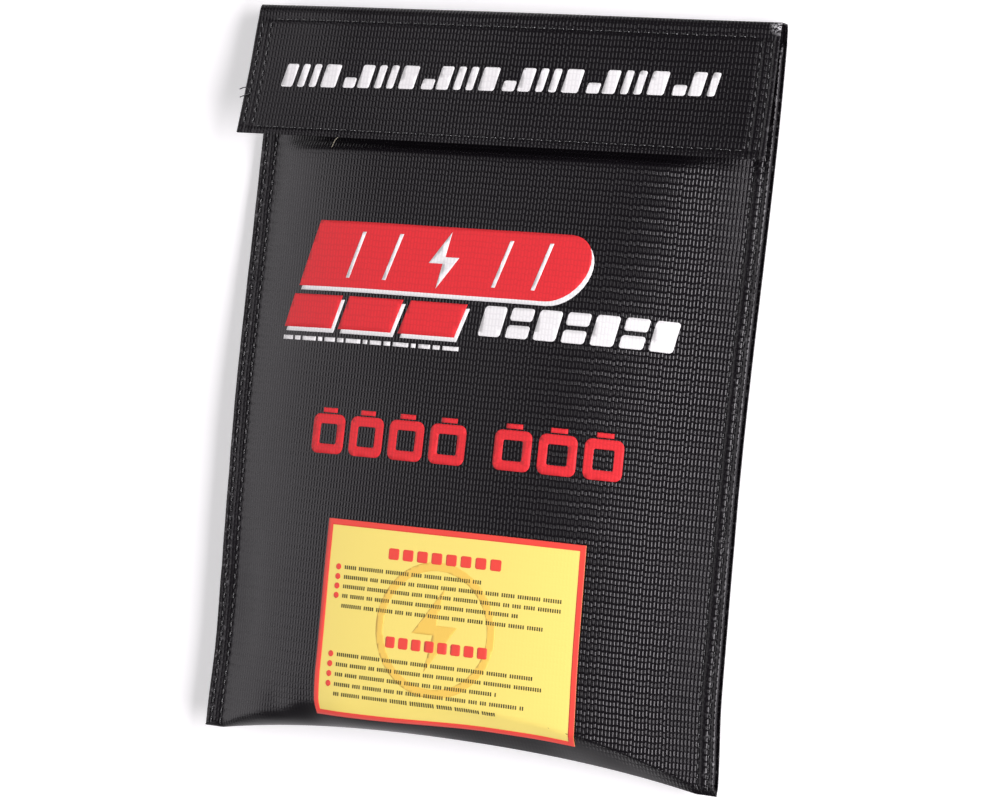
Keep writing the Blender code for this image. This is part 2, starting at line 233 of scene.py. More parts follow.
def skin(u, q):
    """A point of the outer face of the body's cloth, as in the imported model, with its seams and small waves.
    u is -1 and 1 at the sides. q is -1 at the back's top, 0 at the bottom fold and 1 at the mouth."""
    side = 1 if q > 0 else -1
    w = from_middle(u)
    fold_y, reach = bottom(w)
    wall_y = fold_y + reach
    if abs(q) < FOLD_SHARE:
        angle = abs(q) / FOLD_SHARE * math.pi / 2
        facet = between(FOLD_FACET_LEFT, FOLD_FACET, smooth(u * 2 + 0.6))
        y = fold_y + reach * (1 - math.cos(angle) ** facet)
        swell = math.sin(angle) ** facet
    else:
        end_y = MOUTH_Y if side > 0 else BACK_TOP_Y
        y, swell = between(wall_y, end_y, (abs(q) - FOLD_SHARE) / (1 - FOLD_SHARE)), 1.0
    form_y = max(y, wall_y)
    seam = seam_height(form_y)
    stack = seam_section(u)
    power = between(CROWN_POWER_MOUTH, CROWN_POWER, smooth((MOUTH_Y - form_y) / (MOUTH_Y - CROWN_EVEN_Y)))
    front = seam + stack + (crown(form_y) - seam - SEAM_STACK) * (1 - w**power)
    rise = max(0.0, (w - FLAT_SHARE) / (1 - FLAT_SHARE)) ** BACK_POWER
    back = between(back_lift(form_y), seam - stack, rise)
    middle = between(back, front, 0.5 + FOLD_LIFT * (1 - w * w))
    x = u * half_width(y)
    if side > 0:
        x *= 1 - FRONT_EDGE_INSET / HALF * swell * smooth(abs(u) * 2 - 1)
        z = between(middle, front, swell) + (wrinkle(x, y, 1) - dent(x, y) - tuck(u, y)) * swell
    else:
        z = between(middle, back, swell) + abs(wrinkle(x, y, -1)) * swell * w * w
    return Vector((x, y, z))


FOLD_LEFT_SHARE, FOLD_RIGHT_SHARE = 0.85, 0.6  # of the top fold's height in the middle


def fold_height(u):
    """Half the height of the top fold, which is pressed flatter at its ends, and most at the right."""
    left = between(FOLD_LEFT_SHARE, 1.0, smooth((u + 1) * 2.5))
    return FOLD_RADIUS * left * between(1.0, FOLD_RIGHT_SHARE, smooth((u + 0.1) / 1.1))


def signed_power(value, power):
    return math.copysign(abs(value) ** power, value)


FOLD_ARC = FOLD_RADIUS * (FOLD_END + math.pi / 2)
LEAF_START_Y = BACK_TOP_Y + FOLD_RADIUS * math.cos(FOLD_END)
LEAF_LENGTH = (LEAF_START_Y - FLAP_FREE_Y) / math.cos(FLAP_TILT)
FLAP_ROWS, FLAP_ROW_DEPTH = (1.5 * MM, LEAF_LENGTH - 3 * MM), 0.3 * MM
FOLD_SQUARE = 0.62  # 1 is a round top fold, and less makes its upper edge crisper
FOLD_FLAT = math.radians(30)  # the fold is flat for this far round to either side of its middle
FLAP_BOW, FLAP_SINK = 1.6 * MM, 0.8  # height of its crown, and the share of that by which all of it sinks
FLAP_WAVE, FLAP_WAVES = 0.5 * MM, (3.1, 1.7)  # height, and number across and along


def flap(u, reach):
    """A point of the outer face of the flap. reach is 0 where its flat part starts and LEAF_LENGTH at its
    free edge; below 0 it runs back round the top fold."""
    height = fold_height(u)
    from_edge = (1 - abs(u)) * HALF
    angle = FOLD_END + min(0.0, reach) / FOLD_RADIUS
    y = BACK_TOP_Y + FOLD_RADIUS * signed_power(math.cos(angle), FOLD_SQUARE)
    z = BACK_LIFT + height + height * signed_power(math.sin(angle), FOLD_SQUARE)
    if reach > 0:
        share = reach / LEAF_LENGTH
        wave = FLAP_WAVE * noise.noise(Vector((u * FLAP_WAVES[0], share * FLAP_WAVES[1], 5.5)))
        bow = FLAP_BOW * (1 - u * u) - FLAP_SINK * FLAP_BOW
        y = between(y, FLAP_FREE_Y, share)
        z = between(z, FLAP_FREE_Z, share) + (wave + bow) * smooth(share * 2)
        z -= channel(reach, FLAP_ROWS, FLAP_ROW_DEPTH) * smooth(from_edge / ROW_INNER)
        z -= side_channel(u) * smooth(share * 12)
    width = between(half_width(BACK_TOP_Y), HALF, smooth(1 + reach / FOLD_ARC))
    x = u * (width + FLAP_FLARE * max(0.0, reach) / LEAF_LENGTH)
    return Vector((x, y, z - edge_drop(from_edge) * math.sin(angle)))


def moved_out(place, extra, sign=1):
    """place, with extra added to how proud its points are. sign is -1 where proud goes inwards."""

    def moved_place(a, b, proud=0.0):
        return place(a, b, extra + sign * proud)

    return moved_place


def normal_at(surface, a, b, step=4e-3, step_b=4e-3):
    across = surface(a + step, b) - surface(a - step, b)
    along = surface(a, b + step_b) - surface(a, b - step_b)
    return across.cross(along).normalized()


def on_skin(u, q, proud):
    """A point over the body's cloth. Its normal is read clear of the edges."""
    inside = max(-CLEAR_OF_SIDES, min(CLEAR_OF_SIDES, u))
    clear = max(-CLEAR_OF_ENDS, min(CLEAR_OF_ENDS, q))
    return skin(u, q) + normal_at(skin, inside, clear) * proud


def on_flap(u, reach, proud):
    """A point over the flap."""

    def turned(a, b):
        return flap(a, -b)

    inside = max(-CLEAR_OF_SIDES, min(CLEAR_OF_SIDES, u))
    return flap(u, reach) + normal_at(turned, inside, -reach, step_b=0.3 * MM) * proud


# ---------------------------------------------------------------- meshes

COLLECTION = bpy.data.collections.new("charging_pouch")
bpy.context.scene.collection.children.link(COLLECTION)


def add_object(name, grid, material, body=None, thickness=0.0):
    """An object from a bmesh, which is freed. It rides on body, and a thickness goes inwards from it."""
    mesh = bpy.data.meshes.new(name)
    grid.to_mesh(mesh)
    grid.free()
    mesh.shade_smooth()
    obj = bpy.data.objects.new(name, mesh)
    COLLECTION.objects.link(obj)
    mesh.materials.append(material)
    if body:
        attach(obj, body)
    if thickness:
        solid = obj.modifiers.new("Thickness", "SOLIDIFY")
        solid.thickness = thickness
        solid.offset = -1
    return obj


def add_sheet(name, place, columns, rows, material, body, thickness=CLOTH, uv=None):
    """A sheet of cloth: a grid bent so that place(column, row) is its outer face, thickened inwards. Its UV
    map holds cloth lengths, in metres, which the weave follows."""
    grid = bmesh.new()
    across, along = len(columns) - 1, len(rows) - 1
    bmesh.ops.create_grid(grid, x_segments=across, y_segments=along, size=1)
    layer = grid.loops.layers.uv.new("cloth")
    spots = {}
    for vertex in grid.verts:
        i = round((vertex.co.x + 1) / 2 * across)
        j = round((vertex.co.y + 1) / 2 * along)
        spots[vertex.index] = (columns[i], rows[j])
        vertex.co = to_frame(place(columns[i], rows[j]))
    for face in grid.faces:
        for loop in face.loops:
            spot = spots[loop.vert.index]
            loop[layer].uv = uv(*spot) if uv else spot
    return add_object(name, grid, material, body, thickness)


EDGE_OFFSETS = [EDGE_ROUND * (1 - math.cos(t * math.pi / 10)) for t in range(5)]
BAND_OFFSETS = EDGE_OFFSETS + stations(EDGE_ROUND, SEAM_BAND + 1.5 * MM, 14)
MIDDLE_STEPS = 96


def sheet_columns():
    """u at each column: close together at both seams, and even between them."""
    band = [-1 + offset / HALF for offset in BAND_OFFSETS]
    middle = stations(band[-1], -band[-1], MIDDLE_STEPS)[1:-1]
    return band + middle + [-u for u in reversed(band)]


class ClothMap:
    """Turns the body's u and q into lengths along the cloth, and back. s is across from the middle. t is
    along: it runs down each column from the mouth, and is CREASE_T at the crease in the front's middle."""

    def __init__(self):
        self.us = np.linspace(-0.93, 0.93, 63)
        stretches = ((-1, -FOLD_SHARE, 20), (-0.1, 0.1, 13), (FOLD_SHARE, 1, 24))
        self.qs = np.concatenate([np.linspace(*stretch) for stretch in stretches])
        places = np.array([[skin(u, q) for u in self.us] for q in self.qs])
        middle = len(self.us) // 2
        across = np.linalg.norm(np.diff(places, axis=1), axis=2)
        lengths = np.concatenate([np.zeros((len(self.qs), 1)), np.cumsum(across, axis=1)], axis=1)
        centred = lengths - lengths[:, [middle]]
        self.s = centred * (centred[:, -1].max() / centred[:, -1])[:, None]
        along = np.linalg.norm(np.diff(places, axis=0), axis=2)
        lengths = np.concatenate([np.zeros((1, len(self.us))), np.cumsum(along, axis=0)])
        from_mouth = lengths - lengths[-1]
        self.t = from_mouth - np.interp(FOLD_SHARE, self.qs, from_mouth[:, middle]) + CREASE_T

    @staticmethod
    def line(table, stops, stop):
        """The table's values along its first axis at stop."""
        j = int(np.clip(np.searchsorted(stops, stop) - 1, 0, len(stops) - 2))
        share = (stop - stops[j]) / (stops[j + 1] - stops[j])
        return table[j] * (1 - share) + table[j + 1] * share

    def uv(self, u, q):
        """s and t at u and q."""
        inside = max(self.us[0], min(self.us[-1], u))
        s = float(np.interp(inside, self.us, self.line(self.s, self.qs, q))) + (u - inside) * HALF
        return s, float(np.interp(q, self.qs, self.line(self.t.T, self.us, inside)))

    def spot(self, s, t):
        """u and q at s and t, found in a few rounds."""
        u, q = s / HALF, 0.5
        for _ in range(4):
            q = float(np.interp(t, self.line(self.t.T, self.us, u), self.qs))
            u = float(np.interp(s, self.line(self.s, self.qs, q), self.us))
        return u, q


CLOTH_MAP = ClothMap()
MOUTH_T = CLOTH_MAP.uv(0, 1)[1]
BACK_T = CLOTH_MAP.uv(0, -1)[1]


# ---------------------------------------------------------------- materials


SPECULAR = 0.3
# Along one long float of the weave and one short one: the share of their length, and the height there
FLOATS = ((0.0, 0.05), (0.02, 0.05), (0.10, 0.75), (0.27, 0.82), (0.45, 0.72), (0.515, 0.05),
          (0.55, 0.05), (0.63, 0.95), (0.86, 0.92), (0.965, 0.05))
RIB_POWER = 1.5  # more makes the ribs narrower
# How far the ribs wander sideways, and how far the floats of each are out of step, evenly and at random
RIB_WANDER, STAGGER, JITTER = 0.5 * MM, 0.22 * MM, 0.5 * MM


def feed(tree, socket, value):
    """Link the socket to another one, or give it a fixed value."""
    if isinstance(value, bpy.types.NodeSocket):
        tree.links.new(value, socket)
    else:
        socket.default_value = value


class Nodes:
    """Short forms for building the nodes of a material or the world."""

    def __init__(self, owner):
        owner.use_nodes = True
        self.owner = owner
        self.tree = owner.node_tree

    def add(self, kind, inputs=(), **settings):
        node = self.tree.nodes.new(kind)
        for key, value in settings.items():
            setattr(node, key, value)
        for key, value in dict(inputs).items():
            feed(self.tree, node.inputs[key], value)
        return node

    def math(self, operation, a, b=None, c=None):
        given = {i: value for i, value in enumerate((a, b, c)) if value is not None}
        return self.add("ShaderNodeMath", given, operation=operation).outputs[0]

    def noise(self, vector, scale, detail=2.0, roughness=0.5):
        inputs = {"Vector": vector, "Scale": scale, "Detail": detail, "Roughness": roughness}
        return self.add("ShaderNodeTexNoise", inputs).outputs[0]

    def remap(self, value, low, high, to_low, to_high):
        inputs = {0: value, 1: low, 2: high, 3: to_low, 4: to_high}
        return self.add("ShaderNodeMapRange", inputs).outputs[0]

    def mix(self, factor, a, b):
        return self.add("ShaderNodeMix", {0: factor, 6: a, 7: b}, data_type="RGBA").outputs[2]

    def ramp(self, value, stops):
        node = self.add("ShaderNodeValToRGB", {0: value})
        node.color_ramp.interpolation = "EASE"
        elements = node.color_ramp.elements
        while len(elements) < len(stops):
            elements.new(0.5)
        for element, (position, level) in zip(elements, stops):
            element.position = position
            element.color = (level, level, level, 1)
        return node.outputs[0]

    def cloth_uv(self):
        """Lengths along the cloth, and their two parts."""
        uv = self.add("ShaderNodeUVMap", uv_map="cloth").outputs[0]
        return uv, self.add("ShaderNodeSeparateXYZ", {0: uv}).outputs

    def bump(self, height, distance, normal=None):
        inputs = {"Height": height, "Distance": distance, "Strength": 1.0}
        if normal:
            inputs["Normal"] = normal
        return self.add("ShaderNodeBump", inputs).outputs[0]

    def set(self, **inputs):
        names = {"color": "Base Color", "roughness": "Roughness", "normal": "Normal",
                 "sheen": "Sheen Weight", "specular": "Specular IOR Level",
                 "glow_color": "Emission Color", "glow": "Emission Strength"}
        for key, value in inputs.items():
            feed(self.tree, self.tree.nodes["Principled BSDF"].inputs[names[key]], value)
        return self.owner


def new_material(name):
    nodes = Nodes(bpy.data.materials.new(name))
    nodes.set(specular=SPECULAR)
    return nodes


def rib_weave(nodes):
    """Height, from 0 to 1, of the coated cloth's weave: ribs along the bag, which dip under the cross threads
    after one long float and one short, rounder one."""
    uv, parts = nodes.cloth_uv()
    shifted = nodes.math("MULTIPLY_ADD", nodes.noise(uv, 55), RIB_WANDER, parts[0])
    turns = nodes.math("DIVIDE", shifted, RIB_PITCH)
    wave = nodes.math("COSINE", nodes.math("MULTIPLY", turns, 2 * math.pi))
    rib = nodes.math("POWER", nodes.math("MULTIPLY_ADD", wave, 0.5, 0.5), RIB_POWER)
    number = nodes.math("ROUND", turns)
    jitter = nodes.add("ShaderNodeTexWhiteNoise", {"W": number}, noise_dimensions="1D").outputs[0]
    stagger = nodes.math("MULTIPLY", nodes.math("PINGPONG", number, 1.0), STAGGER)
    along = nodes.math("ADD", nodes.math("MULTIPLY_ADD", jitter, JITTER, parts[1]), stagger)
    floats = nodes.ramp(nodes.math("FRACT", nodes.math("DIVIDE", along, FLOAT_PITCH)), FLOATS)
    return nodes.math("MULTIPLY", nodes.math("MULTIPLY", rib, floats), weave_shown(nodes, parts)), uv


def weave_shown(nodes, parts):
    """1 where the weave shows. It is pressed flatter towards the left, and hardly shows on the facets at the
    bottom fold, where the coating is stretched smooth."""
    across, along = (nodes.math("ABSOLUTE", parts[i]) for i in (0, 1))
    crease = nodes.remap(across, 55 * MM, 108 * MM, 18 * MM, 0.0)
    off_fold = nodes.remap(nodes.math("SUBTRACT", along, crease), -3 * MM, 3 * MM, 0.08, 1.0)
    return nodes.math("MULTIPLY", off_fold, nodes.remap(parts[0], -95 * MM, -10 * MM, 0.4, 1.0))


def worn(nodes):
    """Pale scuffs: at the pressed right end of the top fold, and in small specks along the side edges."""
    uv, parts = nodes.cloth_uv()
    corner = (HALF - 0.5 * MM, BACK_T - 0.85 * FOLD_ARC, 0)
    away = nodes.add("ShaderNodeVectorMath", {0: uv, 1: corner}, operation="DISTANCE").outputs["Value"]
    grain = nodes.remap(nodes.noise(uv, 900, 4, 0.75), 0.47, 0.55, 0, 1)
    patch = nodes.math("MULTIPLY", nodes.remap(away, 1.5 * MM, 4.5 * MM, 1, 0), grain)
    rim = nodes.remap(nodes.math("ABSOLUTE", parts[0]), HALF - 1.2 * MM, HALF - 0.2 * MM, 0, 1)
    specks = nodes.math("MULTIPLY", rim, nodes.remap(nodes.noise(uv, 420, 4, 0.7), 0.55, 0.75, 0, 0.25))
    return nodes.math("MAXIMUM", patch, specks)


def coated_cloth():
    """The outer cloth: a black coating over ribbed glass cloth, shinier on the ribs."""
    nodes = new_material("shell_cloth")
    height, uv = rib_weave(nodes)
    patches = nodes.noise(uv, 22, 3)
    colour = nodes.mix(patches, (0.0042, 0.0034, 0.0046, 1), (0.0064, 0.0053, 0.0070, 1))
    colour = nodes.mix(worn(nodes), colour, (0.6, 0.6, 0.61, 1))
    handled = nodes.remap(nodes.noise(uv, 9, 4), 0.3, 0.7, -0.02, 0.05)
    roughness = nodes.math("ADD", nodes.remap(height, 0.02, 0.4, 0.34, 0.2), handled)
    normal = nodes.bump(height, WEAVE_DEPTH)
    normal = nodes.bump(nodes.noise(uv, 2600, 3, 0.6), 0.003 * MM, normal)
    return nodes.set(color=colour, roughness=roughness, normal=normal)


def ink(name, colour, thin):
    """Print on the coated cloth: the weave still shows through it, and the ink is thinner in the gaps."""
    nodes = new_material(name)
    height, uv = rib_weave(nodes)
    shade = nodes.mix(nodes.remap(height, 0.0, 0.25, 0.30, 0), colour, thin)
    shade = nodes.mix(nodes.remap(nodes.noise(uv, 300, 3, 0.7), 0.45, 0.75, 0, 0.15), shade, thin)
    normal = nodes.bump(height, 0.22 * WEAVE_DEPTH)
    return nodes.set(color=shade, roughness=0.55, specular=0.15, normal=normal)


def film(name, colour):
    """The notice's film, which is smoother and bridges most of the weave."""
    nodes = new_material(name)
    normal = nodes.bump(rib_weave(nodes)[0], 0.08 * WEAVE_DEPTH)
    return nodes.set(color=colour, roughness=0.45, specular=0.2, normal=normal)


def plain_weave(name, colour, dark, pitch):
    """Bare glass cloth: a fine over-and-under weave."""
    nodes = new_material(name)
    _, parts = nodes.cloth_uv()
    waves = [nodes.math("SINE", nodes.math("MULTIPLY", parts[i], math.pi / pitch)) for i in (0, 1)]
    checks = nodes.math("MULTIPLY", *waves)
    shade = nodes.mix(nodes.remap(nodes.math("ABSOLUTE", checks), 0, 0.5, 0, 1), dark, colour)
    return nodes.set(color=shade, roughness=0.75, sheen=0.1, normal=nodes.bump(checks, 0.12 * MM))


def tape(name, colour, spacing, depth, roughness, sheen):
    """Hook or loop tape: rows of small points or a brushed pile."""
    nodes = new_material(name)
    pile = nodes.noise(nodes.cloth_uv()[0], 1 / spacing, 4, 0.7)
    shade = nodes.mix(pile, tuple(0.45 * c for c in colour[:3]) + (1,), colour)
    return nodes.set(color=shade, roughness=roughness, sheen=sheen, normal=nodes.bump(pile, depth))


def thread_material():
    """Twisted thread; its UV runs along each stitch."""
    nodes = new_material("thread")
    _, parts = nodes.cloth_uv()
    turns = nodes.math("ADD", nodes.math("DIVIDE", parts[1], 0.55 * MM), parts[0])
    strands = nodes.math("SINE", nodes.math("MULTIPLY", turns, 2 * math.pi))
    normal = nodes.bump(strands, 0.03 * MM)
    return nodes.set(color=(0.012, 0.012, 0.013, 1), roughness=0.18, specular=1.0, normal=normal)


FLOOR_GLOW = 0.36  # a lit table, which leaves only faint shadows


def floor_material():
    nodes = new_material("pale_floor")
    position = nodes.add("ShaderNodeTexCoord").outputs["Object"]
    shade = nodes.mix(nodes.noise(position, 3, 2), (0.86, 0.86, 0.86, 1), (0.9, 0.9, 0.9, 1))
    return nodes.set(color=shade, roughness=0.7, glow_color=(1, 1, 1, 1), glow=FLOOR_GLOW)


SHELL = coated_cloth()
WHITE_INK = ink("white_ink", (0.90, 0.90, 0.89, 1), (0.62, 0.62, 0.62, 1))
RED_INK = ink("red_ink", (0.80, 0.036, 0.045, 1), (0.5, 0.03, 0.035, 1))
BLACK_INK = film("notice_black", (0.055, 0.05, 0.02, 1))
NOTICE_RED = film("notice_red", (0.88, 0.08, 0.06, 1))
NOTICE_YELLOW = film("notice_yellow", (0.96, 0.79, 0.20, 1))
NOTICE_AMBER = film("notice_amber", (0.93, 0.62, 0.12, 1))
LINING = plain_weave("lining_cloth", (0.62, 0.60, 0.54, 1), (0.34, 0.32, 0.28, 1), 1.1 * MM)
LOOPS = tape("loop_tape", (0.02, 0.02, 0.021, 1), 0.5 * MM, 0.4 * MM, 0.9, 0.25)
HOOKS = tape("hook_tape", (0.03, 0.03, 0.032, 1), 0.9 * MM, 0.1 * MM, 0.55, 0.0)
THREADS = thread_material()
FIBRE = plain_weave("glass_fibre", (0.72, 0.68, 0.52, 1), (0.5, 0.46, 0.34, 1), 0.4 * MM)


# ---------------------------------------------------------------- the pouch's cloth

COLUMNS = sheet_columns()
INNER_COLUMNS = [u for u in COLUMNS[::3] if abs(u) < 1 - (SEAM_BAND + 4.5 * MM) / HALF]
HEM_DEPTH = 12 * MM


def build_body_cloth():
    """Front, bottom and back are one strip of cloth, folded at the bottom."""
    fold_rows = stations(-FOLD_SHARE, FOLD_SHARE, 44)
    front_rows = stations(FOLD_SHARE, 1, 190)[1:]
    back_rows = stations(-1, -FOLD_SHARE, 120)[:-1]
    rows = back_rows + fold_rows + front_rows
    cloth = add_sheet("body_cloth", skin, COLUMNS, rows, SHELL, "pouch", uv=CLOTH_MAP.uv)
    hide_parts("front_panel", "bottom_fold", "back_panel")
    return cloth


def build_lining():
    """The two lining sheets lie under the panels, and end short of the seams."""
    below = 0.6 * FOLD_SHARE
    sheets = []
    under = moved_out(on_skin, -LAYER)
    for node, side in (("front_lining", 1), ("back_lining", -1)):
        rows = sorted(side * q for q in [below, 0.8 * FOLD_SHARE] + stations(FOLD_SHARE, 0.998, 70))
        sheet = add_sheet(f"{node}_cloth", under, INNER_COLUMNS, rows, LINING, "pouch", uv=CLOTH_MAP.uv)
        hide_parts(node)
        sheets.append(sheet)
    return sheets


def build_seam_allowances():
    """Both panels' edges, turned in and caught between them: strips that just show at the sides."""
    pieces = []
    for name, side in (("left_seam_allowance", -1), ("right_seam_allowance", 1)):
        offsets = stations(1.1 * MM, SEAM_BAND - 1 * MM, 6)

        def turned_in(offset, y):
            x = side * (half_width(y) - offset)
            bulge = 0.12 * MM * noise.noise(Vector((side * 9.0, y / (9 * MM), 0)))
            return Vector((x, y, seam_height(y) + 0.56 * MM + bulge))

        across = offsets if side < 0 else list(reversed(offsets))
        rows = stations(FOLD_REACH_EAR + 1 * MM, MOUTH_Y - 1 * MM, 110)
        strip = add_sheet(f"{name}_cloth", turned_in, across, rows, SHELL, "pouch", 1.12 * MM)
        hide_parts(name)
        pieces.append(strip)
    return pieces


def build_mouth_hem():
    """The front's top edge, turned in under itself."""

    def turned_in(s, depth):
        u, q = CLOTH_MAP.spot(s, MOUTH_T - depth)
        return on_skin(u, q, -2 * LAYER)

    span = CLOTH_MAP.uv(INNER_COLUMNS[-2], 1)[0]
    across = stations(-span, span, 70)
    rows = stations(HEM_DEPTH, 0.2 * MM, 8)
    hem = add_sheet("mouth_hem_cloth", turned_in, across, rows, SHELL, "pouch")
    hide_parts("mouth_hem")
    return hem


# ---------------------------------------------------------------- the flap


def across_and_reach(u, reach):
    return u * HALF, reach


def build_flap_cloth():
    """The back's cloth carries on round the top fold and becomes the flap. The flat middle of the fold has no
    rows of its own."""
    rows = stations(LEAF_LENGTH, LEAF_LENGTH - 6 * MM, 15) + stations(LEAF_LENGTH - 6 * MM, 4 * MM, 26)[1:]
    rows += stations(4 * MM, 0, 10)[1:]
    bend = stations(0, -FOLD_ARC, 44)[1:]
    rows += [reach for reach in bend if abs(FOLD_END + reach / FOLD_RADIUS) > FOLD_FLAT]

    def uv(u, reach):
        return u * HALF, BACK_T - FOLD_ARC - reach

    cloth = add_sheet("flap_cloth", flap, COLUMNS, rows, SHELL, None, uv=uv)
    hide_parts("flap_shell", "top_fold")
    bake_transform(cloth)
    return cloth


def build_flap_facing():
    """The flap's second layer, which ends just inside its edges."""
    inset = 0.5 * MM
    columns = [u * (1 - inset / HALF) for u in COLUMNS[::2]]
    rows = stations(LEAF_LENGTH - inset, 0, 24)
    under = moved_out(on_flap, -LAYER)
    facing = add_sheet("flap_facing_cloth", under, columns, rows, SHELL, "flap", uv=across_and_reach)
    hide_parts("flap_facing")
    return facing


# ---------------------------------------------------------------- tapes and notice

TAPE = 1.1 * MM
OVER_TAPE = TAPE + 0.1 * MM  # height of the loop tape's face over the front
TAPE_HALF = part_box("loop_tape")[1].x
HOOK_LOW, HOOK_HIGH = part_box("hook_tape")
HOOK_REACH = tuple((LEAF_START_Y - LENGTH / 2 - y) / math.cos(FLAP_TILT) for y in (HOOK_HIGH.y, HOOK_LOW.y))


def t_of(y):
    """t at which the middle of the front passes y."""
    wall_y = sum(bottom(0))
    return CLOTH_MAP.uv(0, between(FOLD_SHARE, 1.0, (y - wall_y) / (MOUTH_Y - wall_y)))[1]


LOOP_T = t_of(251 * MM), t_of(276 * MM)


def over_front(s, t, proud):
    """A point over the front, at lengths along its cloth."""
    u, q = CLOTH_MAP.spot(s, t)
    return on_skin(u, q, proud)


over_loops = moved_out(over_front, OVER_TAPE)


def build_loop_tape():
    across = stations(-TAPE_HALF, TAPE_HALF, 110)
    rows = stations(*LOOP_T, 16)
    piece = add_sheet("loop_tape_strip", over_loops, across, rows, LOOPS, "pouch", TAPE)
    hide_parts("loop_tape")
    return piece


def build_hook_tape():
    across = stations(-TAPE_HALF / HALF, TAPE_HALF / HALF, 60)
    rows = stations(HOOK_REACH[1], HOOK_REACH[0], 10)
    under = moved_out(on_flap, -2 * LAYER)
    piece = add_sheet("hook_tape_strip", under, across, rows, HOOKS, "flap", TAPE, uv=across_and_reach)
    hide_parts("hook_tape")
    return piece


# ---------------------------------------------------------------- prints: flat outlines, laid on the cloth

PRINT_CELL, NOTICE_CELL = 2.5 * MM, 1.3 * MM
INK = 0.08 * MM


def add_print(name, outlines, surface, material, body, proud, uv=None, cell=PRINT_CELL):
    """Ink in the shape of the given outlines. They are drawn in cloth lengths, cut into small cells, and laid
    on the surface."""
    flat = bmesh.new()
    for outline in outlines:
        flat.faces.new([flat.verts.new((x, y, 0)) for x, y in outline])
    bmesh.ops.remove_doubles(flat, verts=flat.verts[:], dist=1e-6)
    bmesh.ops.triangulate(flat, faces=flat.faces[:])
    xs = [v.co.x for v in flat.verts]
    ys = [v.co.y for v in flat.verts]
    for axis, low, high in ((Vector((1, 0, 0)), min(xs), max(xs)), (Vector((0, 1, 0)), min(ys), max(ys))):
        for i in range(1, int((high - low) / cell) + 1):
            everything = flat.verts[:] + flat.edges[:] + flat.faces[:]
            bmesh.ops.bisect_plane(flat, geom=everything, plane_co=axis * (low + i * cell), plane_no=axis)
    bmesh.ops.recalc_face_normals(flat, faces=flat.faces[:])
    for face in flat.faces:
        if face.normal.z < 0:
            face.normal_flip()
    layer = flat.loops.layers.uv.new("cloth")
    for face in flat.faces:
        for loop in face.loops:
            spot = (loop.vert.co.x, loop.vert.co.y)
            loop[layer].uv = uv(*spot) if uv else spot
    for vertex in flat.verts:
        vertex.co = to_frame(surface(vertex.co.x, vertex.co.y, proud))
    return add_object(name, flat, material, body, INK)


def bar(x, y, width, height, slant=0.0):
    """A slanted bar whose lower left corner is at x, y."""
    lean = height * slant
    return [(x, y), (x + width, y), (x + width + lean, y + height), (x + lean, y + height)]


def rounded(x, y, width, height, radius, slant=0.0, corner_steps=5):
    """A box with round corners, leaning by slant."""
    left, right, low, high = x + radius, x + width - radius, y + radius, y + height - radius
    points = []
    for k, (cx, cy) in enumerate(((right, high), (left, high), (left, low), (right, low))):
        for i in range(corner_steps + 1):
            angle = (k + i / corner_steps) * math.pi / 2
            px, py = cx + radius * math.cos(angle), cy + radius * math.sin(angle)
            points.append((px + (py - y) * slant, py))
    return points


def disc(x, y, radius, steps=16):
    return [(x + radius * math.cos(2 * math.pi * i / steps), y + radius * math.sin(2 * math.pi * i / steps))
            for i in range(steps)]


def ring(outer, inner):
    """The area between two loops of the same number of points, as quads."""
    count = len(outer)
    return [[outer[i], outer[(i + 1) % count], inner[(i + 1) % count], inner[i]] for i in range(count)]


def moved(outlines, dx, dy):
    return [[(x + dx, y + dy) for x, y in outline] for outline in outlines]


def scaled(*sizes):
    return tuple(size * MM for size in sizes)


def placed(x, shape):
    """The shape's measures in metres, from its own in mm, with x added to the first."""
    return scaled(x + shape[0], *shape[1:])


def bolt(x, y, size):
    """A lightning bolt about size tall, centred at x, y."""
    half = [(0.10, 0.5), (-0.30, -0.06), (-0.02, -0.06)]
    points = half + [(-px, -py) for px, py in half]
    return [(x + px * size, y + py * size) for px, py in points]


FLAP_PRINT_X = scaled(-96, 96)
FLAP_PRINT_REACH = scaled(29.0, 25.2)  # lower edge of the print at its left and right ends
FLAP_PRINT_HEIGHT = 9.4 * MM
DASHES = ((5.4, 1), (3.2, 1), (3.2, 1), (7.0, 1), (5.4, 0.45))  # widths in mm, and share of the full height
DASH_GAP, DASH_CORNER, DASH_SLANT = 2.3, 0.9 * MM, -0.2


def build_flap_print():
    """A line of slanted white dashes along the flap."""

    def surface(x, y, proud):
        return on_flap(x / HALF, y, proud)

    bars, x, i = [], FLAP_PRINT_X[0], 0
    while x < FLAP_PRINT_X[1] - 5 * MM:
        width, share = DASHES[i % len(DASHES)]
        low = between(*FLAP_PRINT_REACH, (x - FLAP_PRINT_X[0]) / (FLAP_PRINT_X[1] - FLAP_PRINT_X[0]))
        height = FLAP_PRINT_HEIGHT * share
        bars.append(rounded(x, low - height, width * MM, height, DASH_CORNER, DASH_SLANT))
        x += (width + DASH_GAP) * MM
        i += 1
    piece = add_print("flap_print", bars, surface, WHITE_INK, "flap", 0.1 * MM,
                      uv=lambda x, y: (x, BACK_T - FOLD_ARC - y))
    return [piece]


LEAN = 0.33  # of the emblem: across for each length up
UNDER_INK, OVER_INK = 0.09 * MM, 0.15 * MM
# The battery's ends and edges, its bolt's middle and size, and the shadow's place behind it
EMBLEM_S, EMBLEM_T = scaled(-87, 45), scaled(184.5, 211.5)
BOLT_S, BOLT_SIZE = scaled(-16, 23)
SHADOW = scaled(1.2, -1.7)
SLOTS_S, SLOT_WIDTH, SLOT_MARGIN = (-62, -44, 7, 25), 1.7 * MM, 4 * MM
BLOCKS_S, BLOCK = (-93.5, -63.5, -33.5), (0, 167.5, 26.5, 13.6)
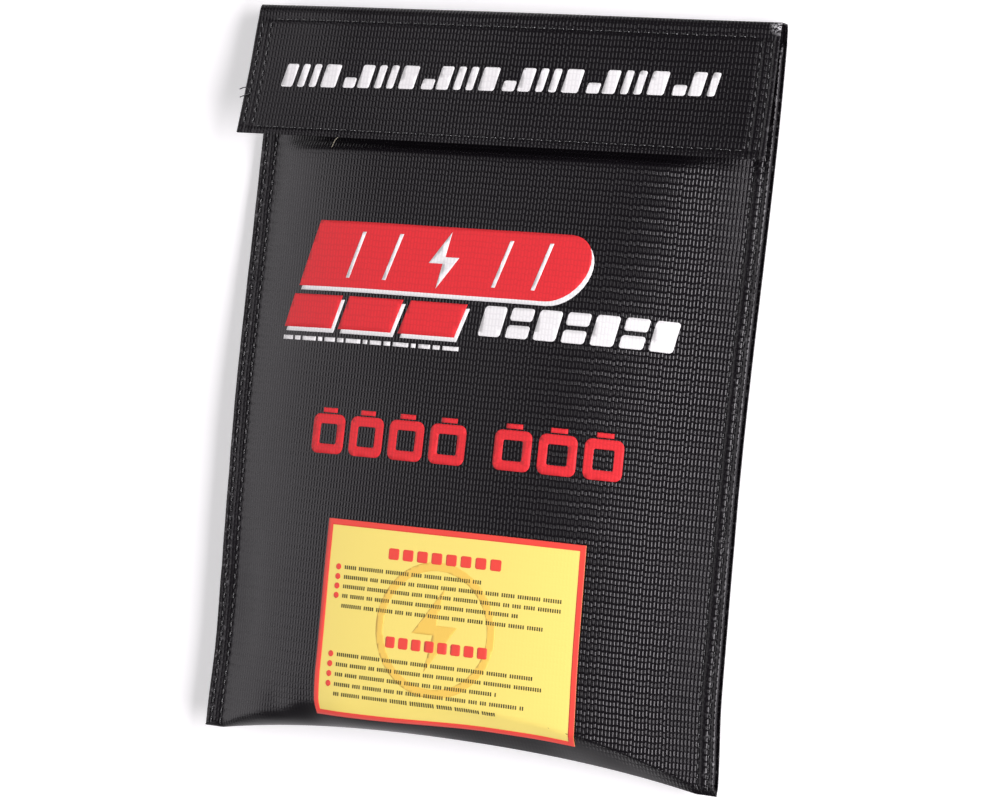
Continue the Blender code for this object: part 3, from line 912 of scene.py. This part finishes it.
# Shapes in mm: place across, lower edge, width, height, and the corners' radius where they are round
WORD_S, WORD_PITCH, WORD_SLANT = 3.5, 12.4, 0.2
WORD_SHAPES = (((0, 169, 10, 12.2, 1.4),), ((0, 169, 10, 5.2, 1.2), (1.4, 176, 10, 5.2, 1.2)))
RULE_S, RULE_T = scaled(-93.5, -6), scaled(162.2, 1.7)
RULE_WIDTHS, RULE_GAP = scaled(5.5, 3.2, 7.4, 2.2), 1.3 * MM
CELLS_S = (-71, -51.5, -32, -12.5, 17, 36.5, 56)
CELL_OUTER, CELL_INNER, CELL_CAP = (0, 117, 16.5, 16, 3), (3.9, 120.9, 8.7, 8.2, 0.8), (4.6, 133.6, 7.3, 1.9)


def battery(left, right, low, high):
    """A leaning battery that is round at its right end."""
    radius = (high - low) / 2
    middle = (low + high) / 2
    points = [(left, low)]
    for i in range(17):
        angle = math.pi * (i / 16 - 0.5)
        points.append((right - radius + radius * math.cos(angle), middle + radius * math.sin(angle)))
    points.append((left, high))
    return [(x + (y - low) * LEAN, y) for x, y in points]


def build_front_prints():
    """A battery over charge blocks, in red on white, a white line of blocks, and a row of cell outlines."""
    low, high = EMBLEM_T
    flash = bolt(BOLT_S, (low + high) / 2, BOLT_SIZE)
    slot = (low + SLOT_MARGIN, SLOT_WIDTH, high - low - 2 * SLOT_MARGIN, LEAN)
    slots = [bar(x * MM, *slot) for x in SLOTS_S]
    red = [battery(*EMBLEM_S, low, high)] + [bar(*placed(x, BLOCK), LEAN) for x in BLOCKS_S]
    white = moved(red, *SHADOW)
    for i in range(7):
        x = WORD_S + WORD_PITCH * i
        white += [rounded(*placed(x, shape), WORD_SLANT) for shape in WORD_SHAPES[i % 2]]
    x, i = RULE_S[0], 0
    while x < RULE_S[1]:
        width = RULE_WIDTHS[i % len(RULE_WIDTHS)]
        white.append(bar(x, RULE_T[0], width, RULE_T[1]))
        x += width + RULE_GAP
        i += 1
    cells = []
    for x in CELLS_S:
        cells += ring(rounded(*placed(x, CELL_OUTER)), rounded(*placed(x, CELL_INNER)))
        cells.append(bar(*placed(x, CELL_CAP)))
    pieces = [
        add_print("front_print_white", white, over_front, WHITE_INK, "pouch", UNDER_INK),
        add_print("front_print_red", red, over_front, RED_INK, "pouch", OVER_INK),
        add_print("front_print_bolt", [flash, *slots], over_front, WHITE_INK, "pouch", OVER_INK + 0.06 * MM),
        add_print("front_print_cells", cells, over_front, RED_INK, "pouch", UNDER_INK),
    ]
    return pieces


# ---------------------------------------------------------------- the notice low on the front

NOTICE_S, NOTICE_T = scaled(-57, 60.5), scaled(11.5, 91.3)
NOTICE_BORDER = 2.4 * MM
NOTICE_PROUD = 0.2 * MM
TEXT_HEIGHT, BULLET = 1.5 * MM, 1.25 * MM
STROKE, STROKE_PITCH = 0.48 * MM, 1.0 * MM
HEADINGS = (scaled(-26, 27, 77.4), scaled(-24, 23.5, 42.4))  # left, right and lower edge
HEADING_HEIGHT, HEADING_CORNER, HEADING_BLOCKS, HEADING_SHARE = 4.5 * MM, 0.8 * MM, 8, 0.72
SIGN_SHIFT, SIGN_OUTER, SIGN_INNER, SIGN_BOLT = scaled(-4, 27, 23.5, 34)
TEXT_LEFT, BULLET_S = scaled(-46.6, -49.8)
# Middle of each line of the notice, its right end, and whether it starts with a bullet
TEXT_LINES = (
    (72.3, 16, True), (68.4, 51, True), (64.6, 51.5, True), (60.8, 33, True), (56.8, 44, False),
    (37.2, 41, True), (33.2, 46.5, True), (29.2, 26.5, True), (25.2, 38.5, True), (21.3, 28, False),
)


def build_notice():
    """A yellow film with a red border, plain blocks for its headings, groups of ticks for its lines, and a
    faint sign behind them."""
    (left, right), (low, high) = NOTICE_S, NOTICE_T
    face = moved_out(over_front, NOTICE_PROUD)
    across, rows = stations(left, right, 60), stations(low, high, 60)
    base = add_sheet("notice_film", face, across, rows, NOTICE_YELLOW, "pouch", 0.12 * MM)
    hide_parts("label_film")
    red = ring(*([(left + edge, low + edge), (right - edge, low + edge), (right - edge, high - edge),
                  (left + edge, high - edge)] for edge in (0, NOTICE_BORDER)))
    for start, end, foot in HEADINGS:
        step = (end - start) / HEADING_BLOCKS
        block = (foot, HEADING_SHARE * step, HEADING_HEIGHT, HEADING_CORNER)
        red += [rounded(start + i * step, *block) for i in range(HEADING_BLOCKS)]
    black = []
    words = random.Random(3)
    for middle, end, bullet in TEXT_LINES:
        if bullet:
            red.append(disc(BULLET_S, middle * MM, BULLET))
        x, foot = TEXT_LEFT, middle * MM - TEXT_HEIGHT / 2
        while x < end * MM:
            ticks = min(words.randint(3, 12), round((end * MM - x) / STROKE_PITCH) + 1)
            black += [bar(x + i * STROKE_PITCH, foot, STROKE, TEXT_HEIGHT) for i in range(ticks)]
            x += (ticks + 1) * STROKE_PITCH
    centre = ((left + right) / 2 + SIGN_SHIFT, (low + high) / 2)
    sign = ring(disc(*centre, SIGN_OUTER, 40), disc(*centre, SIGN_INNER, 40)) + [bolt(*centre, SIGN_BOLT)]
    over = NOTICE_PROUD + 0.05 * MM
    pieces = [
        base,
        add_print("notice_sign", sign, over_front, NOTICE_AMBER, "pouch", over, cell=NOTICE_CELL),
        add_print("notice_red", red, over_front, NOTICE_RED, "pouch", over + 0.05 * MM, cell=NOTICE_CELL),
        add_print("notice_lines", black, over_front, BLACK_INK, "pouch", over + 0.05 * MM, cell=NOTICE_CELL),
    ]
    return pieces


# ---------------------------------------------------------------- stitches

UP = np.array((0, 0, 1))


class Seam:
    """A line of stitches over a surface: points along it, with the surface's outward direction at each."""

    def __init__(self, points, above):
        self.points = np.array(points)
        above = np.array(above) - self.points
        self.ups = above / np.linalg.norm(above, axis=1)[:, None]
        self.along = np.concatenate([[0], np.cumsum(np.linalg.norm(np.diff(self.points, axis=0), axis=1))])

    def at(self, distance):
        point = [np.interp(distance, self.along, self.points[:, k]) for k in range(3)]
        up = [np.interp(distance, self.along, self.ups[:, k]) for k in range(3)]
        return np.array(point), np.array(up) / np.linalg.norm(up)


STITCH_RINGS, STITCH_SIDES = 7, 6
STITCH_SLIP, STITCH_LEAN, STITCH_DIVE = 0.25, 0.4, 0.35 * MM
TAPE_MARGIN = 2.2 * MM  # of the stitches inside the tapes' edges
END_RINGS = 14
# Place, direction and bend of the thread ends past the flap's left edge
LOOSE_ENDS = ((31 * MM, (-5.2, 0.6, -0.2), (0.0, 0.7, 0.3)), (32.5 * MM, (-4.4, -1.6, 0.1), (0.3, 0, 0.5)))
FIBRE_U, FIBRE_AWAY, FIBRE_RADIUS = -0.585, scaled(-3.4, -3.6, -1.5), 0.14 * MM


def add_tube(rig, layer, centres, ups, radii):
    """A closed tube of thread through the centres. Its UV runs round it and along it."""
    rings, lengths = [], [0.0]
    for i, (centre, up, radius) in enumerate(zip(centres, ups, radii)):
        forward = centres[min(i + 1, len(centres) - 1)] - centres[max(i - 1, 0)]
        aside = np.cross(forward, up)
        aside /= np.linalg.norm(aside)
        over = np.cross(aside, forward / np.linalg.norm(forward))
        ring = []
        for j in range(STITCH_SIDES):
            angle = 2 * math.pi * j / STITCH_SIDES
            out = aside * math.cos(angle) + over * math.sin(angle)
            ring.append(rig.verts.new(to_frame(centre + radius * out)))
        rings.append(ring)
        lengths.append(lengths[-1] + np.linalg.norm(forward) / 2)
    for i in range(len(rings) - 1):
        for j in range(STITCH_SIDES):
            after = (j + 1) % STITCH_SIDES
            face = rig.faces.new((rings[i][j], rings[i][after], rings[i + 1][after], rings[i + 1][j]))
            corners = ((j, i), (j + 1, i), (j + 1, i + 1), (j, i + 1))
            for loop, (around, ring_number) in zip(face.loops, corners):
                loop[layer].uv = (around / STITCH_SIDES, lengths[ring_number])
    rig.faces.new(list(reversed(rings[0])))
    rig.faces.new(rings[-1])


def loose_end(start, away, curl):
    """Centres of a thread's free end, which leaves start in the direction away and bends by curl."""
    shares = [i / (END_RINGS - 1) for i in range(END_RINGS)]
    return [start + away * share + curl * math.sin(share * 1.2 * math.pi) for share in shares]


def thread_mesh(name, rig, material, body):
    bmesh.ops.recalc_face_normals(rig, faces=rig.faces[:])
    return add_object(name, rig, material, body)


def add_stitches(name, seam, node, body, rng, ends=()):
    """Separate stitches along a seam. Each one rises out of its hole, lies on the cloth and dives into the
    next. ends are the centres of each loose thread end."""
    rig = bmesh.new()
    layer = rig.loops.layers.uv.new("cloth")
    count = int(seam.along[-1] / STITCH_PITCH)
    margin = (seam.along[-1] - count * STITCH_PITCH) / 2
    for k in range(count):
        start = margin + k * STITCH_PITCH + (STITCH_PITCH - STITCH_LENGTH) / 2
        slip = rng.uniform(-STITCH_SLIP, STITCH_SLIP) * MM
        lean = rng.uniform(-STITCH_LEAN, STITCH_LEAN) * MM
        centres, ups, radii = [], [], []
        for i in range(STITCH_RINGS):
            share = i / (STITCH_RINGS - 1)
            point, up = seam.at(start + slip + share * STITCH_LENGTH)
            ahead, _ = seam.at(start + slip + share * STITCH_LENGTH + 0.2 * MM)
            aside = np.cross((ahead - point) / np.linalg.norm(ahead - point), up)
            arch = math.sin(share * math.pi)
            rise = 0.95 * THREAD * arch**0.6 - STITCH_DIVE * (1 - arch) ** 2
            centres.append(point + up * rise + aside * lean * (share - 0.5))
            ups.append(up)
            radii.append(THREAD * (0.72 + 0.28 * arch))
        add_tube(rig, layer, centres, ups, radii)
    for centres in ends:
        add_tube(rig, layer, centres, [UP] * END_RINGS, [0.8 * THREAD] * END_RINGS)
    obj = thread_mesh(name, rig, THREADS, body)
    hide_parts(node)
    return obj


def seam_over(place, spots):
    """A Seam through place(a, b, proud) at each spot."""
    return Seam([place(a, b, 0.0) for a, b in spots], [place(a, b, 1 * MM) for a, b in spots])


# Name and u of each row of stitches along the sides
SIDE_ROWS = [(f"{side_name}_{row_name}", side * (1 - from_edge / HALF))
             for side_name, side in (("left", -1), ("right", 1))
             for row_name, from_edge in (("outer", ROW_OUTER), ("inner", ROW_INNER))]


def build_side_stitches(rng):
    pieces = []
    for name, u in SIDE_ROWS:
        for face_name, face in (("needle", 1), ("bobbin", -1)):
            node = f"{name}_{face_name}_thread"
            seam = seam_over(on_skin, [(u, q) for q in stations(face * 0.35 * FOLD_SHARE, face * 0.99, 160)])
            pieces.append(add_stitches(f"{node}_stitches", seam, node, "pouch", rng))
    return pieces


def around(end, low, high, steps):
    """Spots round a rectangle, whose ends are as far from the middle on both sides."""
    spots = [(a, low) for a in stations(-end, end, 80)] + [(end, b) for b in stations(low, high, steps)][1:]
    spots += [(a, high) for a in stations(end, -end, 80)][1:]
    return spots + [(-end, b) for b in stations(high, low, steps)][1:]


def build_front_stitches(rng):
    """The rows that hold the mouth hem and the loop tape."""
    row_t = MOUTH_T - 9.8 * MM
    hem = seam_over(over_front, [(s, row_t) for s in stations(-HALF + 10 * MM, HALF - 10 * MM, 120)])
    spots = around(TAPE_HALF - TAPE_MARGIN, LOOP_T[0] + TAPE_MARGIN, LOOP_T[1] - TAPE_MARGIN, 10)
    tape_row = seam_over(over_loops, spots)
    return [add_stitches("mouth_hem_stitches", hem, "mouth_hem_thread", "pouch", rng),
            add_stitches("loop_tape_stitches", tape_row, "loop_tape_thread", "pouch", rng)]


def loose_ends(u):
    """Two short ends of thread that stick out past the flap's left edge, where the row was started again."""
    ends = []
    for reach, away, curl in LOOSE_ENDS:
        start = np.array(on_flap(u, reach, 0.7 * THREAD))
        ends.append(loose_end(start, np.array(away) * MM, np.array(curl) * MM))
    return ends


def build_frayed_fibre():
    """A pale glass fibre that has come out of the cloth at the flap's free edge."""
    rig = bmesh.new()
    layer = rig.loops.layers.uv.new("cloth")
    start = np.array(on_flap(FIBRE_U, LEAF_LENGTH, -LAYER))
    centres = loose_end(start, np.array(FIBRE_AWAY), np.array((0, 0.6 * MM, 0)))
    add_tube(rig, layer, centres, [UP] * END_RINGS, [FIBRE_RADIUS] * END_RINGS)
    fibre = thread_mesh("frayed_fibre", rig, FIBRE, "flap")
    return fibre


def build_flap_stitches(rng):
    low, high = FLAP_ROWS
    inner = 1 - (ROW_INNER + 1 * MM) / HALF
    pieces = []
    for name, reach in (("flap_top", low), ("flap_bottom", high)):
        seam = seam_over(on_flap, [(u, reach) for u in stations(-inner, inner, 80)])
        pieces.append(add_stitches(f"{name}_stitches", seam, f"{name}_thread", "flap", rng))
    for name, u in SIDE_ROWS:
        seam = seam_over(on_flap, [(u, reach) for reach in stations(low, high, 40)])
        ends = loose_ends(u) if name == "left_outer" else ()
        pieces.append(add_stitches(f"flap_{name}_stitches", seam, f"flap_{name}_thread", "flap", rng, ends))
    beneath = moved_out(on_flap, -2 * LAYER, -1)
    seam = seam_over(beneath, around(1 - ROW_OUTER / HALF, low, high, 20))
    pieces.append(add_stitches("flap_bobbin_stitches", seam, "flap_bobbin_thread", "flap", rng))
    over_hooks = moved_out(on_flap, -2 * LAYER - TAPE, -1)
    near, far = HOOK_REACH[0] + TAPE_MARGIN, HOOK_REACH[1] - TAPE_MARGIN
    seam = seam_over(over_hooks, around((TAPE_HALF - TAPE_MARGIN) / HALF, near, far, 10))
    pieces.append(add_stitches("hook_tape_stitches", seam, "hook_tape_thread", "flap", rng))
    return pieces


# ---------------------------------------------------------------- camera, light and floor

LENS, SENSOR = 122.4, 36.0
VIEW_YAW, VIEW_PITCH, VIEW_ROLL = math.radians(26.1), math.radians(-1.0), math.radians(4.6)
VIEW_DISTANCE = 1.356
VIEW_TARGET = Vector((8 * MM, 145 * MM - LENGTH / 2, 10 * MM))
LEFT_POWER, KEY_POWER = 17, 49
LIGHT_COLOUR = (1.0, 0.955, 1.0)
WORLD_HORIZON, WORLD_OVERHEAD = 0.4, 0.03


def build_camera():
    camera = bpy.data.objects.new("Camera", bpy.data.cameras.new("Camera"))
    bpy.context.scene.collection.objects.link(camera)
    camera.data.lens = LENS
    camera.data.sensor_width = SENSOR
    turn = Matrix.Rotation(VIEW_YAW, 4, "Y") @ Matrix.Rotation(VIEW_PITCH, 4, "X")
    turn @= Matrix.Rotation(VIEW_ROLL, 4, "Z")
    away = turn @ Vector((0, 0, 1, 0))
    camera.matrix_world = Matrix.Translation(VIEW_TARGET + away.to_3d() * VIEW_DISTANCE) @ turn
    bpy.context.scene.camera = camera
    bpy.context.scene.view_settings.view_transform = "Standard"


def add_softbox(name, from_vertical, distance, size, power):
    """A soft light that looks at the bag, leaning from the vertical to +X."""
    light = bpy.data.lights.new(name, "AREA")
    light.shape = "RECTANGLE"
    light.size, light.size_y = size
    light.energy = power
    light.color = LIGHT_COLOUR
    obj = bpy.data.objects.new(name, light)
    bpy.context.scene.collection.objects.link(obj)
    turn = Euler((0, math.radians(from_vertical), 0))
    obj.location = turn.to_matrix() @ Vector((0, 0, distance))
    obj.rotation_euler = turn


def build_stage():
    mesh = bpy.data.meshes.new("floor")
    flat = bmesh.new()
    bmesh.ops.create_grid(flat, x_segments=1, y_segments=1, size=4)
    flat.to_mesh(mesh)
    flat.free()
    mesh.materials.append(floor_material())
    floor = bpy.data.objects.new("floor", mesh)
    bpy.context.scene.collection.objects.link(floor)
    add_softbox("left_wall_of_light", -61, 1.6, (1.5, 1.9), LEFT_POWER)
    add_softbox("key", 55, 1.8, (0.65, 1.6), KEY_POWER)
    build_world()


def build_world():
    """Plain studio surroundings: dim overhead, and pale towards the horizon."""
    nodes = Nodes(bpy.data.worlds.new("studio"))
    bpy.context.scene.world = nodes.owner
    direction = nodes.add("ShaderNodeTexCoord").outputs["Generated"]
    height = nodes.add("ShaderNodeSeparateXYZ", {0: direction}).outputs[2]
    fade = nodes.remap(height, 0.0, 0.5, WORLD_HORIZON, WORLD_OVERHEAD)
    background = nodes.tree.nodes["Background"]
    background.inputs["Color"].default_value = (1, 1, 1, 1)
    feed(nodes.tree, background.inputs["Strength"], fade)


build_camera()
build_stage()
rng = random.Random(5)
body_cloth = build_body_cloth()
linings = build_lining()
inner_pieces = build_seam_allowances() + [build_mouth_hem()]
flap_cloth = build_flap_cloth()
facing = build_flap_facing()
loop_tape = build_loop_tape()
hook_tape = build_hook_tape()
pouch_stitches = build_side_stitches(rng) + build_front_stitches(rng)
flap_stitches = build_flap_stitches(rng)
flap_print = [*build_flap_print(), build_frayed_fibre()]
front_prints = build_front_prints() + build_notice()
